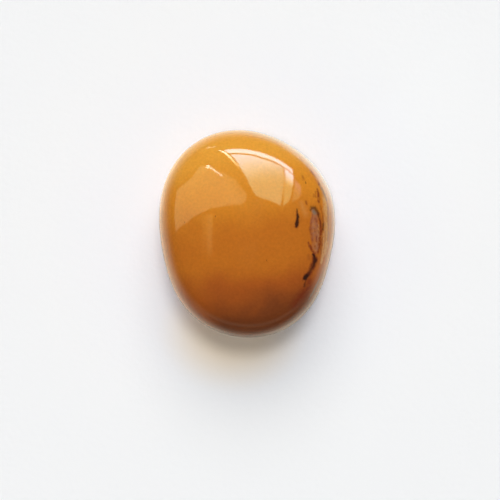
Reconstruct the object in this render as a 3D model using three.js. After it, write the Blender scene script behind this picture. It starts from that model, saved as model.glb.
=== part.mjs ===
// A tumbled mookaite pebble: one polished piece of mustard-coloured chert, lying on its flattest side.
// Millimetres, +Z up. +Y runs along the longer way of the stone, and +X points at its veined side.
// The origin is on the surface that the stone rests on, under the middle of its box.

import * as THREE from 'three';
import { mergeVertices } from 'three/addons/utils/BufferGeometryUtils.js';

// The outline seen from above is a circle of this mean radius with low swells added to it.
// A swell has a number of lobes round the stone, a height and the bearing of its first crest.
const MEAN_RADIUS = 13.0;
const SWELLS = [
  { lobes: 1, height: 0.35, bearing: 117 },
  { lobes: 2, height: 1.13, bearing: 95 },
  { lobes: 3, height: 0.27, bearing: 20 },
  { lobes: 4, height: 0.16, bearing: 33 },
  { lobes: 5, height: 0.07, bearing: 19 },
];

// Two plump forms share the upright section: a tall wall that gives the outline, and a flatter cushion
// that gives the crown and the underside. The cushion would reach this many outlines across.
const WALL_RISE = 13.0;
const CUSHION_SPREAD = 1.25;
const CROWN_RISE = 8.4;
const KEEL_DEPTH = 7.7;

// Faces that the tumbling wore nearly flat, each with its bearing and elevation in degrees
// and its distance from the middle of the stone.
const WORN_FACES = {
  leftUnderside: { bearing: 205, elevation: -38, distance: 10.9 },
  backUnderside: { bearing: 78, elevation: -42, distance: 11.2 },
  rightUnderside: { bearing: 335, elevation: -34, distance: 11.1 },
};

// How firmly wall, cushion and worn faces meet: a higher power leaves narrower shoulders between them.
const WEAR_POWER = 18;

// The truly flat patch on the underside, below the widest level, and the roll into it.
const BASE_DEPTH = 7.3;
const BASE_ROLL = 0.3;

// Each edge of the starting icosahedron is cut into this many steps plus one.
const MESH_STEPS = 13;

const STONE_COLOUR = '#c47a24';
const STONE_ROUGHNESS = 0.12;

// Distance from the middle to the outline at a bearing in radians.
function outlineRadius(bearing) {
  let radius = MEAN_RADIUS;
  for (const swell of SWELLS) {
    const turn = bearing - THREE.MathUtils.degToRad(swell.bearing);
    radius += swell.height * Math.cos(swell.lobes * turn);
  }
  return radius;
}

// The outward unit direction of a worn face.
function faceDirection(face) {
  const bearing = THREE.MathUtils.degToRad(face.bearing);
  const elevation = THREE.MathUtils.degToRad(face.elevation);
  const level = Math.cos(elevation);
  return new THREE.Vector3(level * Math.cos(bearing), level * Math.sin(bearing), Math.sin(elevation));
}

// Distance from the middle to the surface along a unit direction.
function surfaceDistance(direction) {
  const across = Math.hypot(direction.x, direction.y) / outlineRadius(Math.atan2(direction.y, direction.x));
  const cushionRise = direction.z > 0 ? CROWN_RISE : KEEL_DEPTH;
  const wall = Math.hypot(across, direction.z / WALL_RISE);
  const cushion = Math.hypot(across / CUSHION_SPREAD, direction.z / cushionRise);
  let closeness = wall ** WEAR_POWER + cushion ** WEAR_POWER;
  for (const face of Object.values(WORN_FACES)) {
    const facing = Math.max(0, direction.dot(faceDirection(face)) / face.distance);
    closeness += facing ** WEAR_POWER;
  }
  return closeness ** (-1 / WEAR_POWER);
}

// The larger of two heights, with a smooth roll where they are nearly equal.
function smoothLarger(height, floor, roll) {
  const overlap = Math.max(0, roll - Math.abs(height - floor)) / roll;
  return Math.max(height, floor) + (overlap ** 3 * roll) / 6;
}

// The closed skin of the stone: a fine icosahedron pushed out to the surface, with its foot flattened.
function pebbleGeometry() {
  const ball = new THREE.IcosahedronGeometry(1, MESH_STEPS);
  ball.deleteAttribute('normal');
  ball.deleteAttribute('uv');
  const skin = mergeVertices(ball);
  const places = skin.getAttribute('position');
  const point = new THREE.Vector3();
  for (let index = 0; index < places.count; index += 1) {
    point.fromBufferAttribute(places, index).normalize();
    point.multiplyScalar(surfaceDistance(point));
    point.z = smoothLarger(point.z, -BASE_DEPTH, BASE_ROLL);
    places.setXYZ(index, point.x, point.y, point.z);
  }
  skin.computeBoundingBox();
  const middle = skin.boundingBox.getCenter(new THREE.Vector3());
  skin.translate(-middle.x, -middle.y, BASE_DEPTH);
  skin.computeVertexNormals();
  return skin;
}

// Polished microcrystalline quartz: smooth, not metallic, warm mustard.
function polishedMookaite() {
  return new THREE.MeshStandardMaterial({
    color: STONE_COLOUR,
    roughness: STONE_ROUGHNESS,
    metalness: 0,
  });
}

const pebble = new THREE.Mesh(pebbleGeometry(), polishedMookaite());
pebble.name = 'stone';

const part = new THREE.Group();
part.add(pebble);

export default part;
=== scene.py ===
"""The looks of a tumbled mookaite pebble: its polished surface, a plain floor, soft light and a camera.

Lengths in the sizes below are millimetres, and MM turns them into the scene's metres. +Y runs along
the longer way of the stone, +X points at its veined side, and the floor that it rests on is at height 0.
"""

import logging
import math
from dataclasses import dataclass
from enum import Enum
from functools import partial

import bpy
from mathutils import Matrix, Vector
from mathutils.bvhtree import BVHTree


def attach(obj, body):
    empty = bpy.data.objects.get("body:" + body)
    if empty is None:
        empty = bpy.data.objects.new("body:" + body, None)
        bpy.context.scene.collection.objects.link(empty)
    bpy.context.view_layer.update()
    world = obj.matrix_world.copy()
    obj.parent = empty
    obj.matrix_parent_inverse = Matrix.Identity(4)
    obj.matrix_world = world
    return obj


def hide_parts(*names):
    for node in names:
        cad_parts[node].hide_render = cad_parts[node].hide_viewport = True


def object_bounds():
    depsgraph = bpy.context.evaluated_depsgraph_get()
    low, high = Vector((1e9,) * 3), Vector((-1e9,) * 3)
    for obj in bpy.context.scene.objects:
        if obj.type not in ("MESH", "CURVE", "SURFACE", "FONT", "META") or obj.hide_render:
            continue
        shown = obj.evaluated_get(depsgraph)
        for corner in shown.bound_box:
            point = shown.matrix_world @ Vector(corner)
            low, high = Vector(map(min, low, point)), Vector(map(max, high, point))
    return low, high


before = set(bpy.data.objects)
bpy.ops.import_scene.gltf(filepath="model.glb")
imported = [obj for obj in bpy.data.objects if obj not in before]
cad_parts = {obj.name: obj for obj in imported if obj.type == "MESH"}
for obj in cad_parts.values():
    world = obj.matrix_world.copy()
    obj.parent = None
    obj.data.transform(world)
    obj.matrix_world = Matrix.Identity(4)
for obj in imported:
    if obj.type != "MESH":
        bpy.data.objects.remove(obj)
cad_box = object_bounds()

MM = 0.001

# The kinds of node that are used most.
MATH = "ShaderNodeMath"
VECTOR_MATH = "ShaderNodeVectorMath"
MAP_RANGE = "ShaderNodeMapRange"
NOISE = "ShaderNodeTexNoise"
MIX = "ShaderNodeMix"

# The sockets of a Mix node set to colours, which share their names with its number sockets.
MIX_FACTOR = 0
MIX_FIRST = 6
MIX_SECOND = 7
MIX_RESULT = 2

log = logging.getLogger("mookaite")


def linear(hex_colour: str) -> tuple[float, float, float, float]:
    """Turns an sRGB colour such as "c47a24" into linear red, green and blue with an alpha of one.

    Args:
        hex_colour: six hexadecimal digits.

    Returns:
        The linear colour.
    """
    parts = []
    for start in (0, 2, 4):
        value = int(hex_colour[start:start + 2], 16) / 255
        parts.append(value / 12.92 if value <= 0.04045 else ((value + 0.055) / 1.055) ** 2.4)
    return (parts[0], parts[1], parts[2], 1.0)


def direction(bearing: float, elevation: float) -> Vector:
    """A unit vector from a bearing, counted from +X towards +Y, and an elevation, both in degrees."""
    turn, rise = math.radians(bearing), math.radians(elevation)
    return Vector((math.cos(rise) * math.cos(turn), math.cos(rise) * math.sin(turn), math.sin(rise)))


def add_node(
    tree: bpy.types.NodeTree, kind: str, feeds: dict | list | tuple = (), **settings: object,
) -> bpy.types.Node:
    """Adds one node with its settings, its constant inputs and its links.

    Args:
        tree: the node tree that takes the node.
        kind: the node's type as Blender names it.
        feeds: what the inputs get, by name or in order: a constant, a node, whose first output is
            linked, one output socket, or None to leave that input alone.
        settings: the node's own properties by name.

    Returns:
        The new node.
    """
    node = tree.nodes.new(kind)
    for name, value in settings.items():
        setattr(node, name, value)
    for key, value in feeds.items() if isinstance(feeds, dict) else enumerate(feeds):
        if isinstance(value, bpy.types.Node):
            value = value.outputs[0]
        if isinstance(value, bpy.types.NodeSocket):
            tree.links.new(value, node.inputs[key])
        elif value is not None:
            node.inputs[key].default_value = value
    return node


def object_place(add: partial) -> bpy.types.Node:
    """Adds the nodes that give the place on the object, in millimetres, and returns the last."""
    coordinates = add("ShaderNodeTexCoord").outputs["Object"]
    return add(VECTOR_MATH, {"Vector": coordinates, "Scale": 1 / MM}, operation="SCALE")


def new_material(name: str) -> bpy.types.Material:
    """An empty node material of that name."""
    material = bpy.data.materials.new(name)
    material.use_nodes = True
    material.node_tree.nodes.clear()
    return material


def new_object(name: str, data: bpy.types.ID) -> bpy.types.Object:
    """Links an object that holds this mesh, lamp or camera, at the origin."""
    made = bpy.data.objects.new(name, data)
    bpy.context.scene.collection.objects.link(made)
    return made


def flat_mesh(name: str, corners: list, material: bpy.types.Material) -> bpy.types.Mesh:
    """Makes a mesh of one flat face.

    Args:
        name: the mesh's name.
        corners: the corners in metres, in order.
        material: the finish of the face.

    Returns:
        The mesh.
    """
    mesh = bpy.data.meshes.new(name)
    mesh.from_pydata(corners, [], [tuple(range(len(corners)))])
    mesh.materials.append(material)
    return mesh


def level_square(half_width: float, height: float) -> list[tuple[float, float, float]]:
    """The corners of a level square round the origin, in metres, from sizes in millimetres."""
    reach = half_width * MM
    signs = ((-1, -1), (1, -1), (1, 1), (-1, 1))
    return [(across * reach, along * reach, height * MM) for across, along in signs]


def show_to_gloss_alone(thing: bpy.types.Object) -> None:
    """Hides an object from every ray but those that leave a gloss, so that only the polish shows it."""
    for rays in ("camera", "diffuse", "transmission", "shadow"):
        setattr(thing, f"visible_{rays}", False)


@dataclass(frozen=True)
class Swell:
    """A low wave on the outline seen from above.

    Attributes:
        name: what the wave does to the outline.
        lobes: how many crests it has round the stone.
        height: how far a crest stands out.
        bearing: the bearing of the first crest, in degrees.
    """

    name: str
    lobes: int
    height: float
    bearing: float


@dataclass(frozen=True)
class WornFace:
    """A face that the tumbling wore nearly flat.

    Attributes:
        name: where on the stone it is.
        bearing: the bearing it faces, in degrees.
        elevation: how far it faces upwards, in degrees.
        distance: its distance from the middle of the stone.
    """

    name: str
    bearing: float
    elevation: float
    distance: float


class Tint(Enum):
    """What colours a streak on the polished skin."""

    CREAM = "pale chert"
    CLAY = "mauve clay"
    SILICA = "grey silica"
    HAEMATITE = "red-brown haematite"
    MANGANESE = "near-black manganese oxide"


@dataclass(frozen=True)
class Streak:
    """A coloured streak or spot, laid on the skin through places seen from above.

    Attributes:
        places: the points it runs through, each across and along the stone, with the half width there.
        blur: how far it takes to fade at its edge.
        strength: how much of the body colour it covers, from 0 to 1.
    """

    places: tuple[tuple[float, float, float], ...]
    blur: float = 0.12
    strength: float = 1.0


CREAM_STREAKS = (
    Streak(((7, 3.5, 0.3), (7.7, 2, 0.3)), 0.9, 0.22),
    Streak((
        (9.6, 6.5, 0.2), (10.3, 4.6, 0.55), (10.5, 2.5, 0.7), (10.5, -0.7, 0.6), (10.3, -2.8, 0.4),
    ), 0.6, 0.7),
    Streak(((10, -0.5, 0.2), (10.1, -2.3, 0.35), (9.8, -4.1, 0.25)), 0.45, 0.6),
    Streak(((9.3, 0.7, 0.1), (9.3, -0.3, 0.16), (9.3, -1.2, 0.1)), 0.25, 0.8),
    Streak(((8.7, 1, 0.1), (8.8, -0.4, 0.16)), 0.25, 0.6),
    Streak(((9, -1.7, 0.1), (9.1, -2.6, 0.2)), 0.3, 0.6),
)

CLAY_STREAKS = (
    Streak(((7, 9.7, 0.2), (8.1, 8.5, 0.35), (9, 7.3, 0.3), (9.6, 6.2, 0.2)), 0.7, 0.45),
    Streak((
        (8.8, 2.2, 0.4), (8.8, 0.8, 0.62), (8.9, -0.8, 0.66), (9, -2.2, 0.5), (9, -2.9, 0.25),
    ), 0.45, 0.9),
    Streak(((10.4, 4.4, 0.16), (10.7, 3.2, 0.24), (10.7, 1.7, 0.3), (10.7, -1.2, 0.2)), 0.35, 1),
    Streak(((10, -4.9, 0.1), (9.3, -7, 0.2), (8.4, -8.4, 0.2)), 0.35, 0.7),
    Streak(((10.2, 1.1, 0.1), (10.3, -0.7, 0.15), (10.1, -2.8, 0.1)), 0.3, 0.5),
    Streak(((9.2, 6.6, 0.2), (9.8, 5.7, 0.35), (10.2, 4.7, 0.3)), 0.5, 0.7),
)

SILICA_STREAKS = (
    Streak(((9.6, 6.1, 0.1), (10, 5.3, 0.2), (10.5, 4.2, 0.16)), 0.3, 0.6),
    Streak(((9.6, -6.1, 0.1), (9, -7.5, 0.3), (8.2, -8.9, 0.2)), 0.35, 0.8),
    Streak(((8.6, 2.7, 0.22), (8.9, 2.2, 0.3)), 0.3, 0.9),
)

HAEMATITE_STREAKS = (
    Streak(((6.5, 2.4, 0.1), (6.6, 1.5, 0.26), (6.4, 0.4, 0.3)), 0.4, 0.55),
    Streak((
        (9.4, 2.1, 0.2), (9.6, 1.2, 0.26), (9.7, 0, 0.28), (9.6, -1.2, 0.26), (9.5, -2.1, 0.22),
        (9.3, -2.9, 0.2),
    ), 0.45, 0.9),
    Streak(((8.4, 1.4, 0.12), (8.3, 0, 0.2), (8.5, -1.6, 0.14)), 0.35, 0.6),
    Streak(((9, 1.4, 0.18), (9.1, 1.2, 0.18)), 0.3, 0.9),
    Streak(((8.8, 0.1, 0.1), (8.9, -0.2, 0.14)), 0.25, 0.6),
    Streak(((9.2, 0.7, 0.1), (9.3, 0.4, 0.12)), 0.25, 0.6),
    Streak(((8.4, -0.8, 0.12), (8.5, -1.5, 0.14)), 0.3, 0.5),
    Streak(((8.9, -2.1, 0.14), (9, -2.4, 0.12)), 0.25, 0.6),
    Streak(((9.3, -0.1, 0.12), (9.4, -0.4, 0.12)), 0.22, 0.8),
    Streak(((9.1, -0.9, 0.12), (9.1, -1.4, 0.14)), 0.22, 0.7),
    Streak(((8.6, 2, 0.1), (8.5, 1.4, 0.14)), 0.25, 0.6),
    Streak(((8, -1.7, 0.12), (8.3, -2.4, 0.24), (8.7, -3, 0.16)), 0.28, 0.95),
    Streak((
        (8.8, -3.2, 0.3), (8.9, -4, 0.52), (8.6, -4.8, 0.46), (8.2, -5.6, 0.4), (7.7, -6.3, 0.4),
    ), 0.6, 0.9),
    Streak(((9.2, 5.4, 0.14), (9.4, 4.7, 0.26), (9.4, 3.8, 0.2)), 0.35, 0.85),
    Streak(((9, 5, 0.1), (9, 4.4, 0.14)), 0.3, 0.6),
    Streak(((7.7, 3.7, 0.16), (7.8, 3.4, 0.16)), 0.3, 0.75),
    Streak(((7.3, 7, 0.16), (7.4, 6.7, 0.18)), 0.4, 0.6),
    Streak(((8.4, 8, 0.12), (8.6, 7.7, 0.24), (9, 7.2, 0.16)), 0.4, 0.6),
    Streak(((9.4, 6.6, 0.12), (9.5, 6.1, 0.18)), 0.35, 0.65),
    Streak(((8.7, 4.7, 0.12), (8.7, 4.4, 0.12)), 0.25, 0.65),
    Streak(((6.9, 1.8, 0.1), (7, 1.1, 0.12)), 0.4, 0.3),
    Streak(((9.9, -1, 0.1), (9.8, -2, 0.14), (9.7, -3.1, 0.1)), 0.3, 0.7),
    Streak(((9.6, 3.3, 0.1), (9.9, 2.1, 0.14), (10, 1.1, 0.12)), 0.3, 0.55),
    Streak(((8.1, -6.3, 0.3), (8.1, -7.3, 0.5), (7.3, -8.5, 0.8), (6.3, -9.7, 0.6)), 1.3, 0.8),
    Streak(((8, -3.3, 0.12), (8.1, -3.8, 0.14)), 0.4, 0.4),
    Streak(((-0.2, 12.7, 0.05), (1.4, 12.4, 0.07), (3.3, 11.9, 0.07), (4.8, 11, 0.05)), 0.2, 0.35),
)

MANGANESE_STREAKS = (
    Streak((
        (6.5, 2.7, 0.06), (6.6, 2.1, 0.12), (6.6, 1.5, 0.2), (6.5, 0.9, 0.27), (6.4, 0.4, 0.18),
    ), 0.24, 0.95),
    Streak((
        (8.3, 2.6, 0.12), (8.5, 2.9, 0.2), (8.9, 2.9, 0.2), (9.2, 2.5, 0.2), (9.4, 1.8, 0.14),
    ), 0.45, 0.75),
    Streak(((10, 0.9, 0.12), (10, 0.1, 0.16)), 0.26, 0.8),
    Streak(((9.5, 1.5, 0.06), (9.7, 0.4, 0.08)), 0.2, 0.55),
    Streak(((8.6, -3.2, 0.14), (8.8, -3.4, 0.18)), 0.2, 1),
    Streak(((8.8, -3.5, 0.2), (8.9, -4, 0.34), (8.7, -4.6, 0.24)), 0.45, 0.86),
    Streak(((8.7, -4.6, 0.2), (8.3, -5.3, 0.2), (8, -5.9, 0.22)), 0.45, 0.74),
    Streak(((7.9, -6, 0.26), (7.6, -6.3, 0.34)), 0.32, 1),
    Streak(((7.6, -6.7, 0.1), (7.5, -7.4, 0.14)), 0.26, 0.7),
    Streak(((7.7, 6.3, 0.08), (7.7, 6.1, 0.08)), 0.16, 0.65),
    Streak(((7.2, -6.6, 0.06), (7.2, -6.7, 0.06)), 0.2, 0.4),
    Streak(((11.4, -0.3, 0.06), (11.4, -0.4, 0.06)), 0.12, 0.9),
    Streak(((-4.1, 1.7, 0.06), (-4.1, 1.6, 0.06)), 0.1, 0.7),
    Streak(((-8.2, 1, 0.07), (-8.2, 0.9, 0.07)), 0.1, 0.7),
    Streak(((2.6, -4.1, 0.06), (2.6, -4.2, 0.06)), 0.1, 0.6),
    Streak(((-5.4, -7.3, 0.06), (-5.4, -7.4, 0.06)), 0.1, 0.5),
)


@dataclass(frozen=True)
class Marks:
    """All the streaks of one tint.

    Attributes:
        tint: what colours them.
        streaks: where they run.
        mottle_shift: how far along the pattern of the mottle theirs is taken.
        dense: whether they lie dense and have no mottle.
    """

    tint: Tint
    streaks: tuple[Streak, ...]
    mottle_shift: float = 0.0
    dense: bool = False


MARKS = (
    Marks(Tint.CREAM, CREAM_STREAKS, 90.0),
    Marks(Tint.CLAY, CLAY_STREAKS, 90.0),
    Marks(Tint.SILICA, SILICA_STREAKS, 99.0),
    Marks(Tint.HAEMATITE, HAEMATITE_STREAKS, 171.0),
    Marks(Tint.MANGANESE, MANGANESE_STREAKS, dense=True),
)


class FormTree:
    """The rule for the stone's form, as a Geometry Nodes tree with a named input for each size."""

    # The noise stays below this value, so the unevenness lies inside the even form everywhere.
    NOISE_CREST = 0.8
    SOCKET_KINDS = {
        float: "NodeSocketFloat",
        int: "NodeSocketInt",
        Vector: "NodeSocketVector",
        bpy.types.Material: "NodeSocketMaterial",
    }

    def __init__(self, sizes: dict[str, object]) -> None:
        """Makes the tree's inputs.

        Args:
            sizes: the value of each input by name, whose type settles the kind of input.
        """
        self.tree = bpy.data.node_groups.new("pebble form", "GeometryNodeTree")
        self.sizes = sizes
        new_socket = self.tree.interface.new_socket
        self.sockets = {
            name: new_socket(name, in_out="INPUT", socket_type=self.SOCKET_KINDS[type(value)])
            for name, value in sizes.items()
        }
        new_socket("Geometry", in_out="OUTPUT", socket_type="NodeSocketGeometry")
        self.add = partial(add_node, self.tree)
        self.size = self.add("NodeGroupInput").outputs

    def outline_radius(self, bearing: bpy.types.Node, swells: tuple[Swell, ...]) -> bpy.types.Node:
        """Distance from the middle to the outline.

        Args:
            bearing: the node that holds the bearing, in radians.
            swells: the waves on the outline.

        Returns:
            The node that holds the distance.
        """
        add, radius = self.add, self.size["Mean radius"]
        for swell in swells:
            turn = add(MATH, [bearing, self.size[f"{swell.name} bearing"]], operation="SUBTRACT")
            phase = add(MATH, [turn, float(swell.lobes)], operation="MULTIPLY")
            crest = add(MATH, [phase], operation="COSINE")
            height = self.size[f"{swell.name} height"]
            radius = add(MATH, [crest, height, radius], operation="MULTIPLY_ADD")
        return radius

    def closeness(self, heading: bpy.types.Node, swells: tuple, faces: tuple) -> bpy.types.Node:
        """How close the surface is in a direction, raised to the wear power.

        The plump wall, the flatter crown or keel and every worn face add their share, so where two of
        them meet the tumbling has left a soft shoulder and not an edge.

        Args:
            heading: the node that holds the unit direction.
            swells: the waves on the outline.
            faces: the worn faces.

        Returns:
            The node that holds the sum.
        """
        add, size = self.add, self.size
        axes = add("ShaderNodeSeparateXYZ", [heading]).outputs
        bearing = add(MATH, [axes["Y"], axes["X"]], operation="ARCTAN2")
        radius = self.outline_radius(bearing, swells)
        level = add(VECTOR_MATH, [heading, (1, 1, 0)], operation="MULTIPLY")
        reach = add(VECTOR_MATH, [level], operation="LENGTH").outputs["Value"]
        across = add(MATH, [reach, radius], operation="DIVIDE")
        above = add("FunctionNodeCompare", {"A": axes["Z"], "B": 0.0}, operation="GREATER_THAN")
        rises = {"Switch": above, "False": size["Keel depth"], "True": size["Crown rise"]}
        rise = add("GeometryNodeSwitch", rises, input_type="FLOAT")
        total = 0.0
        for spread, height in ((1.0, size["Wall rise"]), (size["Cushion spread"], rise)):
            shares = add("ShaderNodeCombineXYZ", [across, axes["Z"]])
            halves = add("ShaderNodeCombineXYZ", [spread, height, 1.0])
            parts = add(VECTOR_MATH, [shares, halves], operation="DIVIDE")
            near = add(VECTOR_MATH, [parts], operation="LENGTH").outputs["Value"]
            power = add(MATH, [near, size["Wear power"]], operation="POWER")
            total = add(MATH, [total, power], operation="ADD")
        for face in faces:
            facing = [heading, size[f"{face.name} direction"]]
            share = add(VECTOR_MATH, facing, operation="DOT_PRODUCT").outputs["Value"]
            near = add(MATH, [share, size[f"{face.name} distance"]], operation="DIVIDE")
            held = add(MATH, [near, 0.0], operation="MAXIMUM")
            power = add(MATH, [held, size["Wear power"]], operation="POWER")
            total = add(MATH, [total, power], operation="ADD")
        return total

    def unevenness(self, heading: bpy.types.Node) -> bpy.types.Node:
        """The slight unevenness that hand and eye find in any tumbled stone.

        Args:
            heading: the node that holds the unit direction.

        Returns:
            The node that holds how far the surface lies inside the even form, as a negative distance.
        """
        add, size = self.add, self.size
        count = add(MATH, [size["Mean radius"], size["Unevenness width"]], operation="DIVIDE")
        field = add(VECTOR_MATH, {"Vector": heading, "Scale": count}, operation="SCALE")
        feeds = {"Vector": field, "W": size["Unevenness seed"], "Scale": 1.0, "Detail": 1.0}
        waves = add(NOISE, feeds, noise_dimensions="4D")
        dip = add(MATH, [waves, self.NOISE_CREST], operation="SUBTRACT")
        return add(MATH, [dip, size["Unevenness"]], operation="MULTIPLY")

    def grow(self, swells: tuple[Swell, ...], faces: tuple[WornFace, ...]) -> None:
        """Builds the nodes from a fine ball to the finished stone.

        Args:
            swells: the waves on the outline.
            faces: the worn faces.
        """
        add, size = self.add, self.size
        ball = add("GeometryNodeMeshIcoSphere", {"Radius": 1.0, "Subdivisions": size["Refinements"]})
        heading = add(VECTOR_MATH, [add("GeometryNodeInputPosition")], operation="NORMALIZE")
        root = add(MATH, [-1.0, size["Wear power"]], operation="DIVIDE")
        worn = add(MATH, [self.closeness(heading, swells, faces), root], operation="POWER")
        distance = add(MATH, [worn, self.unevenness(heading)], operation="ADD")
        point = add(VECTOR_MATH, {"Vector": heading, "Scale": distance}, operation="SCALE")
        axes = add("ShaderNodeSeparateXYZ", [point]).outputs
        base = add(MATH, [size["Base depth"], -1.0], operation="MULTIPLY")
        height = add(MATH, [axes["Z"], base, size["Base roll"]], operation="SMOOTH_MAX")
        footed = add("ShaderNodeCombineXYZ", [axes["X"], axes["Y"], height])
        shaped = add("GeometryNodeSetPosition", {"Geometry": ball, "Position": footed})
        box = add("GeometryNodeBoundBox", [shaped]).outputs
        corners = add(VECTOR_MATH, [box["Min"], box["Max"]], operation="ADD")
        rise = add("ShaderNodeCombineXYZ", {"Z": size["Base depth"]})
        move = add(VECTOR_MATH, [corners, (-0.5, -0.5, 0), rise], operation="MULTIPLY_ADD")
        centred = add("GeometryNodeSetPosition", {"Geometry": shaped, "Offset": move})
        smooth = add("GeometryNodeSetShadeSmooth", [centred])
        realized = add("GeometryNodeRealizeInstances", [smooth])
        finished = add("GeometryNodeSetMaterial", {"Geometry": realized, "Material": size["Finish"]})
        add("NodeGroupOutput", [finished])

    def mesh(self, name: str) -> bpy.types.Mesh:
        """Runs the tree once and keeps its result as a plain mesh.

        Args:
            name: the mesh's name.

        Returns:
            The finished mesh.
        """
        carrier = new_object(name, bpy.data.meshes.new(name))
        modifier = carrier.modifiers.new("form", "NODES")
        modifier.node_group = self.tree
        for size, socket in self.sockets.items():
            modifier[socket.identifier] = self.sizes[size]
        evaluated = carrier.evaluated_get(bpy.context.evaluated_depsgraph_get())
        grown = bpy.data.meshes.new_from_object(evaluated)
        # The ball brings an empty material slot of its own.
        grown.materials.pop(index=0)
        bpy.data.objects.remove(carrier)
        return grown


@dataclass(frozen=True)
class Stain:
    """A colour of the body that takes over from the one before it, further along the stone.

    Attributes:
        name: what it looks like.
        colour: its colour.
        start: how far along the stone it first shows.
        full: where it has taken over.
    """

    name: str
    colour: str
    start: float
    full: float


@dataclass(frozen=True)
class Region:
    """A part of the stone that comes in softly along its axes.

    Attributes:
        edges: for each axis, where the region starts and where it is full.
    """

    edges: tuple[tuple[str, float, float], ...]

    def cover(self, add: partial, axes: object) -> bpy.types.Node:
        """How far a place lies inside the region.

        Args:
            add: adds a node to the material's tree.
            axes: the sockets that hold the place, by the name of the axis.

        Returns:
            The node that holds the cover, from 0 to 1.
        """
        total = None
        for axis, start, full in self.edges:
            share = add(MAP_RANGE, {"Value": axes[axis], "From Min": start, "From Max": full})
            total = share if total is None else add(MATH, [total, share], operation="MULTIPLY")
        return total


@dataclass(frozen=True)
class PolishedMookaite:
    """Mookaite, a fine-grained chert stained by iron oxides, tumbled in ever finer grit.

    The stain gives a mustard body that shifts between ochre and orange. It darkens towards the front and
    pales towards the back, partly in the stone's own colour and partly as painted shade and light. The
    grain is far too fine to see, so the polish shines like wet stone and mirrors the light, while a
    little light sinks in and softens the shading.

    Attributes:
        umber: the body's colour at the very front, dark partly in its own colour and partly as painted
            shade.
        stains_and_painted_shade: the colours that follow it towards the back, each paler than the last;
            the change is partly the stone's own colour and partly painted shade and light.
        smear_range, grain_range, mottle_range: the noise where each pattern starts and is full.
        sink_depth, sink_shares: how deep light sinks in, and the share of that for each primary colour.
        cloud_reach: how far the clouds push the colours along the stone.
        band_lean: how far along the stone the colours shift for each millimetre across it.
        front_left, corner_rise: where the orange reaches further forward, and how far.
        left_flank, painted_flank_light: where the body is paler, and by what share.
        grain_width: the width of the speckle. The real grain is far too fine to show, so it is drawn
            coarser.
        ragged_width, ragged_reach: the width and the reach of the teeth on the marks' edges.
        mottle_low: the cover of a mark in the gaps of its mottle.
        mark_sink: how far the black marks lie below the polish.
    """

    name: str = "polished mookaite"
    umber: str = "7e401c"
    stains_and_painted_shade: tuple[Stain, ...] = (
        Stain("burnt orange", "a8551c", -11.0, -7.0),
        Stain("orange", "be6c1e", -8.0, -4.0),
        Stain("amber", "d58726", -1.0, 5.5),
        Stain("ochre", "e29d39", 5.0, 11.5),
    )
    clay: str = "a26646"
    silica: str = "7d6e5c"
    haematite: str = "7a3018"
    manganese: str = "32180e"
    cream: str = "d8a868"
    ior: float = 1.54
    gloss_roughness: float = 0.045
    smear_roughness: float = 0.03
    smear_width: float = 4.0
    smear_range: tuple[float, float] = (0.4, 0.7)
    mark_roughness: float = 0.14
    sink_weight: float = 0.12
    sink_depth: float = 0.9
    sink_shares: tuple[float, float, float] = (1.0, 0.45, 0.2)
    cloud_width: float = 4.5
    cloud_reach: float = 4.5
    band_lean: float = 0.15
    front_left: Region = Region((("X", 4.0, -4.0), ("Y", -8.0, -11.0)))
    corner_rise: float = 1.9
    left_flank: Region = Region((("X", 2.0, -7.0), ("Z", 12.5, 10.0)))
    painted_flank_light: float = 0.22
    grain_width: float = 0.35
    grain_contrast: float = 0.065
    grain_range: tuple[float, float] = (0.3, 0.7)
    ragged_width: float = 0.6
    ragged_reach: float = 0.2
    mottle_width: float = 0.5
    mottle_low: float = 0.5
    mottle_range: tuple[float, float] = (0.38, 0.58)
    ripple_width: float = 2.2
    ripple_height: float = 0.0016
    mark_sink: float = 0.006

    def colour_of(self, tint: Tint) -> tuple[float, float, float, float]:
        """The linear colour of a tint."""
        return linear({
            Tint.CREAM: self.cream,
            Tint.CLAY: self.clay,
            Tint.SILICA: self.silica,
            Tint.HAEMATITE: self.haematite,
            Tint.MANGANESE: self.manganese,
        }[tint])


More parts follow.
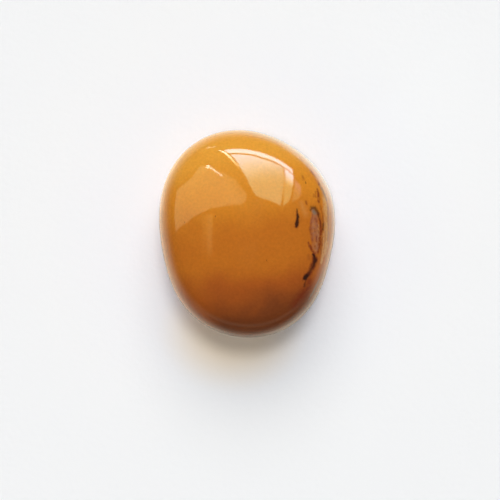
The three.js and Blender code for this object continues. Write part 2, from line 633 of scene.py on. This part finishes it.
class MookaitePaint:
    """Builds the nodes of the stone's finish."""

    def __init__(self, finish: PolishedMookaite, material: bpy.types.Material) -> None:
        """Starts from the place on the stone, in millimetres.

        Args:
            finish: the colours, sizes and gloss.
            material: the empty material that takes the nodes.
        """
        self.finish = finish
        self.add = partial(add_node, material.node_tree)
        self.place = object_place(self.add)
        self.axes = self.add("ShaderNodeSeparateXYZ", [self.place]).outputs
        self.ragged = self.ragged_place()

    def ragged_place(self) -> bpy.types.Node:
        """The place pushed about by noise, which makes edges drawn with it ragged.

        Returns:
            The node that holds the pushed place.
        """
        finish = self.finish
        feeds = {"Vector": self.place, "Scale": 1 / finish.ragged_width, "Detail": 2.0}
        noise = self.add(NOISE, feeds).outputs["Color"]
        swing = self.add(VECTOR_MATH, [noise, (0.5, 0.5, 0.5)], operation="SUBTRACT")
        reach = (2 * finish.ragged_reach,) * 3
        return self.add(VECTOR_MATH, [swing, reach, self.place], operation="MULTIPLY_ADD")

    def body_colour(self) -> bpy.types.Node:
        """The mustard body: umber at the front, then orange, and ochre at the back, with clouds and grain.

        The darker front and the paler back are partly the stone's own colour and partly painted shade and
        light. Light is painted onto the low left flank, which makes it a little paler, and on the front
        left the paler colours reach further forward than on the right, partly as painted light.

        Returns:
            The node that holds the colour.
        """
        add, finish, axes = self.add, self.finish, self.axes
        clouds = add(NOISE, {"Vector": self.place, "Scale": 1 / finish.cloud_width, "Detail": 3.0})
        swing = add(MATH, [clouds, 0.5], operation="SUBTRACT")
        level = add(MATH, [axes["X"], -finish.band_lean, axes["Y"]], operation="MULTIPLY_ADD")
        # The paler colours reach further forward on the front left: partly painted light.
        corner = finish.front_left.cover(add, axes)
        level = add(MATH, [corner, finish.corner_rise, level], operation="MULTIPLY_ADD")
        along = add(MATH, [swing, finish.cloud_reach, level], operation="MULTIPLY_ADD")
        body = linear(finish.umber)
        # Umber at the front to ochre at the back: partly the stone's own colour, partly painted shade and
        # light.
        for stain in finish.stains_and_painted_shade:
            feeds = {"Value": along, "From Min": stain.start, "From Max": stain.full}
            share = add(MAP_RANGE, feeds, interpolation_type="SMOOTHSTEP")
            colours = {MIX_FACTOR: share, MIX_FIRST: body, MIX_SECOND: linear(stain.colour)}
            body = add(MIX, colours, data_type="RGBA").outputs[MIX_RESULT]
        grain = add(NOISE, {"Vector": self.place, "Scale": 1 / finish.grain_width, "Detail": 2.0})
        shade = add(MAP_RANGE, {
            "Value": grain, "From Min": finish.grain_range[0], "From Max": finish.grain_range[1],
            "To Min": 1 - finish.grain_contrast, "To Max": 1 + finish.grain_contrast,
        })
        # Painted light: the low left flank is made paler, on top of the grain.
        flank = finish.left_flank.cover(add, axes)
        lift = add(MATH, [flank, finish.painted_flank_light, shade], operation="MULTIPLY_ADD")
        return add(VECTOR_MATH, {"Vector": body, "Scale": lift}, operation="SCALE")

    def streak_cover(self, streak: Streak, points: list[Vector]) -> bpy.types.Node:
        """How much of the body a streak covers.

        Args:
            streak: its widths and strength.
            points: the places that it runs through, on the skin.

        Returns:
            The node that holds the cover, from 0 to 1.
        """
        add, nearest = self.add, None
        widths = [half_width for _, _, half_width in streak.places]
        for start, end, wide, next_wide in zip(points, points[1:], widths, widths[1:]):
            run = end - start
            offset = add(VECTOR_MATH, [self.ragged, start], operation="SUBTRACT")
            shares = [offset, run / run.length_squared]
            along = add(VECTOR_MATH, shares, operation="DOT_PRODUCT").outputs["Value"]
            held = add("ShaderNodeClamp", [along])
            foot = add(VECTOR_MATH, {"Vector": run, "Scale": held}, operation="SCALE")
            gap = add(VECTOR_MATH, [offset, foot], operation="DISTANCE").outputs["Value"]
            taper = add(MATH, [held, next_wide - wide, wide], operation="MULTIPLY_ADD")
            past = add(MATH, [gap, taper], operation="SUBTRACT")
            if nearest is None:
                nearest = past
            else:
                nearest = add(MATH, [nearest, past], operation="MINIMUM")
        feeds = {
            "Value": nearest, "From Min": -streak.blur / 2, "From Max": streak.blur / 2,
            "To Min": streak.strength, "To Max": 0.0,
        }
        return add(MAP_RANGE, feeds, interpolation_type="SMOOTHSTEP")

    def marks_cover(self, marks: Marks, traced: dict[Streak, list[Vector]]) -> bpy.types.Node:
        """How much of the body the marks of one tint cover.

        Args:
            marks: the marks.
            traced: the places on the skin that each streak runs through.

        Returns:
            The node that holds the cover, from 0 to 1.
        """
        add, finish, total = self.add, self.finish, None
        for streak in marks.streaks:
            cover = self.streak_cover(streak, traced[streak])
            total = cover if total is None else add(MATH, [total, cover], operation="MAXIMUM")
        if marks.dense:
            return total
        place = add(VECTOR_MATH, [self.place, (marks.mottle_shift, 0, 0)], operation="ADD")
        feeds = {"Vector": place, "Scale": 1 / finish.mottle_width, "Detail": 3.0}
        noise = add(NOISE, feeds)
        mottle = add(MAP_RANGE, {
            "Value": noise, "From Min": finish.mottle_range[0], "From Max": finish.mottle_range[1],
            "To Min": finish.mottle_low, "To Max": 1.0,
        }, interpolation_type="SMOOTHSTEP")
        return add(MATH, [total, mottle], operation="MULTIPLY")

    def paint(self, traced: dict[Streak, list[Vector]]) -> None:
        """Builds the whole finish.

        Args:
            traced: the places on the skin that each streak runs through.
        """
        add, finish = self.add, self.finish
        colour = self.body_colour()
        for marks in MARKS:
            cover = self.marks_cover(marks, traced)
            colours = {MIX_FACTOR: cover, MIX_FIRST: colour, MIX_SECOND: finish.colour_of(marks.tint)}
            colour = add(MIX, colours, data_type="RGBA").outputs[MIX_RESULT]
        # The black marks come last, and they alone change the polish.
        dark = cover
        smears = add(NOISE, {"Vector": self.place, "Scale": 1 / finish.smear_width, "Detail": 2.0})
        gloss = add(MAP_RANGE, {
            "Value": smears, "From Min": finish.smear_range[0], "From Max": finish.smear_range[1],
            "To Min": finish.gloss_roughness, "To Max": finish.gloss_roughness + finish.smear_roughness,
        })
        roughness = add(MATH, [dark, finish.mark_roughness, gloss], operation="MULTIPLY_ADD")
        ripples = add(NOISE, {"Vector": self.place, "Scale": 1 / finish.ripple_width, "Detail": 1.0})
        ripple = add(MATH, [ripples, finish.ripple_height], operation="MULTIPLY")
        relief = add(MATH, [dark, -finish.mark_sink, ripple], operation="MULTIPLY_ADD")
        bump = add("ShaderNodeBump", {"Strength": 1.0, "Distance": MM, "Height": relief})
        surface = add("ShaderNodeBsdfPrincipled", {
            "Base Color": colour,
            "Roughness": roughness,
            "IOR": finish.ior,
            "Subsurface Weight": finish.sink_weight,
            "Subsurface Radius": finish.sink_shares,
            "Subsurface Scale": finish.sink_depth * MM,
            "Normal": bump,
        })
        add("ShaderNodeOutputMaterial", [surface])


@dataclass
class Pebble:
    """The stone: one closed solid whose form follows a rule, with its polished finish.

    Attributes:
        wall_rise: how high the tall form that gives the outline would reach.
        cushion_spread: how many outlines across the flatter form would reach.
        crown_rise, keel_depth: how far the flatter form reaches up and down.
        wear_power: how firmly the forms meet. A higher power leaves narrower shoulders.
        base_depth, base_roll: how far down the flat foot is, and the roll into it.
        unevenness: how deep the slight dips can be.
        refinements: how often the ball's triangles are cut in four.
    """

    mean_radius: float = 13.0
    swells: tuple[Swell, ...] = (
        Swell("Lean", 1, 0.35, 117),
        Swell("Stretch", 2, 1.13, 95),
        Swell("Three-sided swell", 3, 0.27, 20),
        Swell("Four-sided swell", 4, 0.16, 33),
        Swell("Five-sided swell", 5, 0.07, 19),
    )
    wall_rise: float = 13.0
    cushion_spread: float = 1.25
    crown_rise: float = 8.4
    keel_depth: float = 7.7
    worn_faces: tuple[WornFace, ...] = (
        WornFace("Left underside", 205, -38, 10.9),
        WornFace("Back underside", 78, -42, 11.2),
        WornFace("Right underside", 335, -34, 11.1),
    )
    wear_power: float = 18.0
    base_depth: float = 7.3
    base_roll: float = 0.3
    unevenness: float = 0.07
    unevenness_width: float = 6.5
    unevenness_seed: float = 3.0
    refinements: int = 7
    finish: PolishedMookaite = PolishedMookaite()

    def sizes(self, material: bpy.types.Material) -> dict[str, object]:
        """The form tree's inputs, in metres and radians.

        Args:
            material: the finish that the stone gets.

        Returns:
            The value of each input by name.
        """
        sizes = {
            "Mean radius": self.mean_radius * MM,
            "Wall rise": self.wall_rise * MM,
            "Cushion spread": self.cushion_spread,
            "Crown rise": self.crown_rise * MM,
            "Keel depth": self.keel_depth * MM,
            "Wear power": self.wear_power,
            "Base depth": self.base_depth * MM,
            "Base roll": self.base_roll * MM,
            "Unevenness": self.unevenness * MM,
            "Unevenness width": self.unevenness_width * MM,
            "Unevenness seed": self.unevenness_seed,
            "Refinements": self.refinements,
            "Finish": material,
        }
        for swell in self.swells:
            sizes[f"{swell.name} height"] = swell.height * MM
            sizes[f"{swell.name} bearing"] = math.radians(swell.bearing)
        for face in self.worn_faces:
            sizes[f"{face.name} direction"] = direction(face.bearing, face.elevation)
            sizes[f"{face.name} distance"] = face.distance * MM
        return sizes

    def build(self) -> bpy.types.Object:
        """Grows the stone's mesh.

        Returns:
            The stone at the origin, with an empty finish.
        """
        tree = FormTree(self.sizes(new_material(self.finish.name)))
        tree.grow(self.swells, self.worn_faces)
        return new_object("pebble", tree.mesh("pebble"))

    def dress(self, stone: bpy.types.Object) -> None:
        """Paints the stone and puts it in the place of its solid.

        Args:
            stone: the grown stone.
        """
        corners = [vertex.co for vertex in stone.data.vertices]
        skin = BVHTree.FromPolygons(corners, [face.vertices for face in stone.data.polygons])
        above, down = 2 * cad_box[1].z, Vector((0, 0, -1))
        traced = {}
        for streak in (streak for marks in MARKS for streak in marks.streaks):
            starts = [Vector((across * MM, along * MM, above)) for across, along, _ in streak.places]
            traced[streak] = [skin.ray_cast(start, down)[0] / MM for start in starts]
        MookaitePaint(self.finish, stone.data.materials[0]).paint(traced)
        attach(stone, "root")
        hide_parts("stone")


@dataclass(frozen=True)
class Patch:
    """A soft oval patch on the floor, placed from the middle of the stone's foot.

    Attributes:
        middle: its middle, across and along the stone.
        reach: its half widths across and along.
        core: the share of the reach where it is full.
        rim: the share of the reach where it ends.
    """

    middle: tuple[float, float]
    reach: tuple[float, float]
    core: float = 0.35
    rim: float = 1.25

    def cover(self, add: partial, place: bpy.types.Node) -> bpy.types.Node:
        """How far a place lies inside the patch.

        Args:
            add: adds a node to the material's tree.
            place: the node that holds the place on the floor.

        Returns:
            The node that holds the cover, from 0 outside the patch to 1 in its middle.
        """
        offset = add(VECTOR_MATH, [place, (*self.middle, 0)], operation="SUBTRACT")
        shares = add(VECTOR_MATH, [offset, (*self.reach, 1)], operation="DIVIDE")
        away = add(VECTOR_MATH, [shares], operation="LENGTH").outputs["Value"]
        feeds = {"Value": away, "From Min": self.rim, "From Max": self.core}
        return add(MAP_RANGE, feeds, interpolation_type="SMOOTHSTEP")


@dataclass
class Floor:
    """A plain, pale, matt floor with a soft tooth.

    Attributes:
        half_width: from its middle to its edges.
        colour: its colour.
        painted_light_patches: painted light and shade round the stone, each with the colour it takes
            there: a faint cool shade about it and the warm light that it throws into its shadow in front.
        tooth_width: the width of the bumps of its tooth.
        tooth_height: their height.
    """

    half_width: float = 2500.0
    colour: str = "f2f3f4"
    painted_light_patches: tuple[tuple[Patch, str], ...] = (
        (Patch((1.0, 3.0), (26.0, 26.0)), "ebeef4"),
        (Patch((-2.0, -13.0), (9.0, 7.5)), "f8ead4"),
    )
    roughness: float = 0.9
    sheen: float = 0.2
    tooth_width: float = 0.9
    tooth_height: float = 0.035

    def build(self) -> bpy.types.Object:
        """Makes the floor.

        Returns:
            The floor.
        """
        corners = level_square(self.half_width, 0)
        floor = new_object("floor", flat_mesh("floor", corners, self.finish()))
        floor.visible_glossy = False
        return floor

    def finish(self) -> bpy.types.Material:
        """Matt white board with a fine tooth.

        Returns:
            The material.
        """
        material = new_material("matt white board")
        add = partial(add_node, material.node_tree)
        place = object_place(add)
        tooth = add(NOISE, {"Vector": place, "Scale": 1 / self.tooth_width, "Detail": 3.0})
        height = add(MATH, [tooth, self.tooth_height], operation="MULTIPLY")
        bump = add("ShaderNodeBump", {"Strength": 1.0, "Distance": MM, "Height": height})
        colour = linear(self.colour)
        # Painted light and shade round the stone: a faint cool shade about it, and warm light that it
        # throws into its shadow in front.
        for patch, tint in self.painted_light_patches:
            colours = {MIX_FACTOR: patch.cover(add, place), MIX_FIRST: colour, MIX_SECOND: linear(tint)}
            colour = add(MIX, colours, data_type="RGBA").outputs[MIX_RESULT]
        surface = add("ShaderNodeBsdfPrincipled", {
            "Base Color": colour,
            "Roughness": self.roughness,
            "Specular IOR Level": self.sheen,
            "Normal": bump,
        })
        add("ShaderNodeOutputMaterial", [surface])
        return material


@dataclass(frozen=True)
class Glow:
    """The light of a pane, which may change from its lower part to its upper part.

    Attributes:
        low_colour: the colour at the bottom.
        low_strength: the brightness at the bottom.
        high_colour: the colour at the top.
        high_strength: the brightness at the top.
        fade_from: how far up the panel the change starts.
        fade_to: how far up it ends.
        tilt: how far the line of the change leans to the right, in degrees.
    """

    low_colour: str
    low_strength: float
    high_colour: str
    high_strength: float
    fade_from: float = 0.0
    fade_to: float = 1.0
    tilt: float = 0.0

    def material(self, name: str) -> bpy.types.Material:
        """The glowing material.

        Args:
            name: the material's name.

        Returns:
            The material, which reads the place on the panel from the pane's UV map.
        """
        material = new_material(name)
        add = partial(add_node, material.node_tree)
        line = (math.sin(math.radians(self.tilt)), math.cos(math.radians(self.tilt)), 0)
        place = add("ShaderNodeUVMap", uv_map="panel")
        height = add(VECTOR_MATH, [place, line], operation="DOT_PRODUCT").outputs["Value"]
        feeds = {"Value": height, "From Min": self.fade_from * MM, "From Max": self.fade_to * MM}
        share = add(MAP_RANGE, feeds, interpolation_type="SMOOTHSTEP")
        low, high = linear(self.low_colour), linear(self.high_colour)
        colours = {MIX_FACTOR: share, MIX_FIRST: low, MIX_SECOND: high}
        colour = add(MIX, colours, data_type="RGBA").outputs[MIX_RESULT]
        strengths = {"Value": share, "To Min": self.low_strength, "To Max": self.high_strength}
        strength = add(MAP_RANGE, strengths)
        add("ShaderNodeOutputMaterial", [add("ShaderNodeEmission", [colour, strength])])
        return material


@dataclass(frozen=True)
class Pane:
    """A piece of a panel.

    Attributes:
        name: which piece it is.
        corners: its corners in order, each across and up from the panel's middle.
        glow: its light.
    """

    name: str
    corners: tuple[tuple[float, float], ...]
    glow: Glow


@dataclass
class MirroredPanel:
    """A panel of glowing panes that shows only as a reflection in the polish.

    Attributes:
        name: what the panel is.
        bearing: where it stands round the stone, in degrees.
        elevation: how high it is, in degrees.
        distance: how far from the stone it stands, facing it.
        panes: its glowing pieces.
    """

    name: str
    bearing: float
    elevation: float
    distance: float
    panes: tuple[Pane, ...]

    def build(self) -> None:
        """Makes the panes, seen by glossy rays alone."""
        facing = direction(self.bearing, self.elevation)
        middle = facing * self.distance * MM
        across = facing.cross(Vector((0, 0, 1))).normalized()
        up = across.cross(facing)
        for pane in self.panes:
            points = [middle + across * (right * MM) + up * (rise * MM) for right, rise in pane.corners]
            name = f"{self.name}_{pane.name}"
            made = new_object(name, flat_mesh(name, points, pane.glow.material(name)))
            chart = made.data.uv_layers.new(name="panel")
            for loop, (right, rise) in zip(chart.data, pane.corners):
                loop.uv = (right * MM, rise * MM)
            show_to_gloss_alone(made)


@dataclass
class MirroredFloor:
    """The pale floor as the polish mirrors it: bright beside the stone, dim far away and in its shadow.

    Attributes:
        half_width: from its middle to its edges.
        height: how far it lies above the floor.
        outline: half the stone's width and half its length.
        colour: the colour of the light it throws.
        cool_colour: that colour on the side of the tall softbox.
        cool_side: the patch that the softbox cools.
        near_strength: its brightness beside the stone.
        far_strength: its brightness far away.
        fade_from: where it starts to fade, in outlines from the middle.
        fade_to: where the fade ends.
        foot_share: the share of the light left right at the stone's foot.
        foot_reach: where that shade ends, in outlines.
        shades: patches that are darker or brighter, each with the share of the light that it keeps.
    """

    half_width: float = 400.0
    height: float = 0.02
    outline: tuple[float, float] = (11.9, 14.0)
    colour: str = "dbd0bc"
    cool_colour: str = "e2f4f2"
    cool_side: Patch = Patch((14.0, 22.0), (22.0, 22.0))
    near_strength: float = 1.67
    far_strength: float = 0.38
    fade_from: float = 1.1
    fade_to: float = 6.0
    foot_share: float = 0.35
    foot_reach: float = 1.35
    shades: tuple[tuple[Patch, float], ...] = (
        (Patch((5.0, -36.0), (45.0, 26.0)), 0.12),
        (Patch((33.0, 19.0), (24.0, 20.0)), 1.8),
        (Patch((-17.0, 10.0), (10.0, 8.0)), 1.35),
        (Patch((9.0, -21.0), (9.0, 8.0)), 1.5),
    )

    def build(self) -> None:
        """Makes the glowing sheet, seen by glossy rays alone."""
        corners = level_square(self.half_width, self.height)
        sheet = new_object("mirrored_floor", flat_mesh("mirrored_floor", corners, self.material()))
        show_to_gloss_alone(sheet)

    def material(self) -> bpy.types.Material:
        """The sheet's glow.

        Returns:
            The material.
        """
        material = new_material("mirrored floor")
        add = partial(add_node, material.node_tree)
        place = object_place(add)
        shares = add(VECTOR_MATH, [place, (*self.outline, 1)], operation="DIVIDE")
        away = add(VECTOR_MATH, [shares], operation="LENGTH").outputs["Value"]
        fade = add(MAP_RANGE, {
            "Value": away, "From Min": self.fade_from, "From Max": self.fade_to,
            "To Min": self.near_strength, "To Max": self.far_strength,
        }, interpolation_type="SMOOTHSTEP")
        feeds = {"Value": away, "From Min": 1.0, "From Max": self.foot_reach, "To Min": self.foot_share}
        foot = add(MAP_RANGE, feeds, interpolation_type="SMOOTHSTEP")
        strength = add(MATH, [fade, foot], operation="MULTIPLY")
        for patch, share in self.shades:
            cover = patch.cover(add, place)
            kept = add(MATH, [cover, share - 1, 1.0], operation="MULTIPLY_ADD")
            strength = add(MATH, [strength, kept], operation="MULTIPLY")
        cool = self.cool_side.cover(add, place)
        colours = {MIX_FACTOR: cool, MIX_FIRST: linear(self.colour), MIX_SECOND: linear(self.cool_colour)}
        colour = add(MIX, colours, data_type="RGBA").outputs[MIX_RESULT]
        add("ShaderNodeOutputMaterial", [add("ShaderNodeEmission", [colour, strength])])
        return material


@dataclass(frozen=True)
class Lamp:
    """A wide, soft lamp far from the stone, which casts a soft shadow but isn't mirrored itself.

    Attributes:
        name: the lamp's name.
        bearing: where it stands, in degrees.
        elevation: how high it is, in degrees.
        spread: how wide it looks from the stone, in degrees.
        strength: how strongly it lights a face turned to it.
    """

    name: str
    bearing: float
    elevation: float
    spread: float
    strength: float

    def build(self) -> None:
        """Makes the lamp."""
        lamp = bpy.data.lights.new(self.name, "SUN")
        lamp.energy = self.strength
        lamp.angle = math.radians(self.spread)
        light = new_object(self.name, lamp)
        light.rotation_mode = "QUATERNION"
        light.rotation_quaternion = direction(self.bearing, self.elevation).to_track_quat("Z", "Y")
        light.visible_glossy = False


@dataclass
class StudioLight:
    """The soft key light, the even fill and what the polish mirrors.

    Attributes:
        lamps: the lamps that light the stone and the floor.
        fill_strength: the even light from all round on matt surfaces.
        backdrop: the colour behind the stone.
        mirrored_dark: the light that the polish mirrors where no panel stands.
    """

    lamps: tuple[Lamp, ...] = (
        Lamp("key", 90, 52, 50, 1.68),
        Lamp("high key", 80, 76, 14, 0.82),
        Lamp("overhead", 260, 84, 12, 0.935),
    )
    fill_strength: float = 0.04
    backdrop: str = "f2f2f1"
    mirrored_dark: float = 0.06

    def build(self) -> None:
        """Makes the lamps, the fill and the mirrored panels."""
        for lamp in self.lamps:
            lamp.build()
        self.surroundings()
        for panel in self.panels():
            panel.build()
        MirroredFloor().build()

    def surroundings(self) -> None:
        """Makes the world: pale behind the stone, an even fill, and dark in the polish."""
        world = bpy.data.worlds.new("studio")
        world.use_nodes = True
        world.node_tree.nodes.clear()
        bpy.context.scene.world = world
        add = partial(add_node, world.node_tree)
        rays = add("ShaderNodeLightPath").outputs
        white = linear("ffffff")
        fill = add("ShaderNodeBackground", {"Color": white, "Strength": self.fill_strength})
        dark = add("ShaderNodeBackground", {"Color": white, "Strength": self.mirrored_dark})
        pale = add("ShaderNodeBackground", {"Color": linear(self.backdrop), "Strength": 1.0})
        lit = add("ShaderNodeMixShader", [rays["Is Glossy Ray"], fill, dark])
        seen = add("ShaderNodeMixShader", [rays["Is Camera Ray"], lit, pale])
        add("ShaderNodeOutputWorld", [seen])

    def panels(self) -> list[MirroredPanel]:
        """The mirrored panels: a tall softbox with bars, a bounce sheet with its clamp left of it, a
        slit between them, and a warm curtain low on the left.

        Returns:
            The panels.
        """
        softbox = MirroredPanel("softbox", 75, 50, 600, (
            Pane("foot", (
                (-285, -166), (-100, -188), (80, -208), (222, -196),
                (212, -126), (60, -131), (-100, -104), (-215, -88),
            ), Glow("e2efff", 12.5, "e2efff", 12.5)),
            Pane("wide", (
                (-196, -62), (-35, -94), (138, -113), (140, 20), (160, 206), (80, 196), (0, 205),
                (-38, 166), (-70, 116), (-98, 76), (-124, 34), (-160, -20),
            ), Glow("cbeaff", 11.3, "dcffc8", 3.6, -130, 130, 37)),
            Pane("narrow", (
                (147, -113), (211, -106), (208, 20), (208, 110),
                (203, 150), (176, 206), (152, 90), (145, 20),
            ), Glow("d8eeff", 13.0, "f0ffb4", 3.2, -80, 60)),
            Pane("left_frame", (
                (-354, -204), (-338, -202), (-276, -136), (-219, -74), (-171, -13), (-130, 41), (-104, 79),
                (-143, 40), (-190, -12), (-237, -74), (-294, -136),
            ), Glow("fff6e0", 20.0, "fff2b4", 9.0, -120, 80)),
            Pane("right_wall", (
                (222, -62), (286, -46), (304, 30), (270, 100), (222, 150),
            ), Glow("f4e4ff", 1.7, "fff4b0", 1.5, -40, 90)),
        ))
        bounce = MirroredPanel("bounce", 145, 45, 600, (
            Pane("sheet", (
                (-437, -240), (-152, -341), (-48, -171), (34, -69), (130, -85), (185, 10), (190, 110),
                (236, 257), (225, 325), (220, 389), (185, 419), (134, 403),
                (-11, 226), (-109, 160), (-228, 61),
            ), Glow("fff0b8", 1.9, "fff0b8", 1.0, 140, 260, 90)),
        ))
        clamp = MirroredPanel("clamp", 145, 45, 595, (
            Pane("edge", (
                (168, 38), (177, 38), (185, 182), (175, 182),
            ), Glow("fff6e0", 14.0, "fff6e0", 11.0, 40, 180)),
            Pane("clip", ((152, 2), (181, 0), (182, 34), (154, 37)), Glow("fff6e0", 15.0, "fff6e0", 15.0)),
        ))
        slit = MirroredPanel("slit", 115, 5, 600, (
            Pane("left", ((-30, -36), (-4, -48), (28, 38), (4, 50)), Glow("fff0c8", 4.5, "fff0c8", 4.5)),
            Pane("right", ((16, 58), (38, 48), (66, 98), (44, 110)), Glow("fff0c8", 4.5, "fff0c8", 4.5)),
        ))
        curtain = MirroredPanel("curtain", 200, 25, 600, (
            Pane("fold", (
                (239, 494), (150, 448), (101, 401), (21, 351), (2, 423), (91, 476), (145, 518), (243, 577),
            ), Glow("ffd486", 0.05, "ffd486", 0.7, 10, 130, 90)),
            Pane("hem", (
                (243, 577), (145, 518), (91, 476), (2, 423), (-18, 491), (83, 548), (138, 587), (251, 661),
            ), Glow("ffd486", 0.15, "ffd486", 1.5, -10, 120, 90)),
        ))
        return [softbox, bounce, clamp, slit, curtain]


@dataclass
class StudioCamera:
    """The camera, which looks almost straight down on the stone.

    Attributes:
        elevation: how high it stands, in degrees, on the side of the stone's front.
        distance: how far from the point it looks at.
        view_width: how wide the view is there.
        aim: the point it looks at.
    """

    elevation: float = 86.0
    distance: float = 225.0
    view_width: float = 67.5
    aim: tuple[float, float, float] = (0.38, -2.16, 7.0)

    def build(self) -> None:
        """Makes the camera and hands it to the scene."""
        lens = bpy.data.cameras.new("camera")
        lens.lens = lens.sensor_width * self.distance / self.view_width
        lens.clip_start = MM
        camera = new_object("camera", lens)
        back = direction(-90.0, self.elevation)
        camera.location = (Vector(self.aim) + back * self.distance) * MM
        camera.rotation_mode = "QUATERNION"
        camera.rotation_quaternion = back.to_track_quat("Z", "Y")
        bpy.context.scene.camera = camera


def main() -> None:
    """Builds the stone, the floor, the light and the camera, in that order."""
    logging.basicConfig(level=logging.INFO, format="%(name)s: %(message)s")
    # Colours are shown as they are, with no film curve.
    bpy.context.scene.view_settings.view_transform = "Standard"
    pebble = Pebble()
    stone = pebble.build()
    pebble.dress(stone)
    log.info("%s: %d faces of %s", stone.name, len(stone.data.polygons), pebble.finish.name)
    floor = Floor().build()
    log.info("%s: laid under the stone", floor.name)
    StudioLight().build()
    StudioCamera().build()
    log.info("light and camera: in place")


if __name__ == "__main__":
    main()
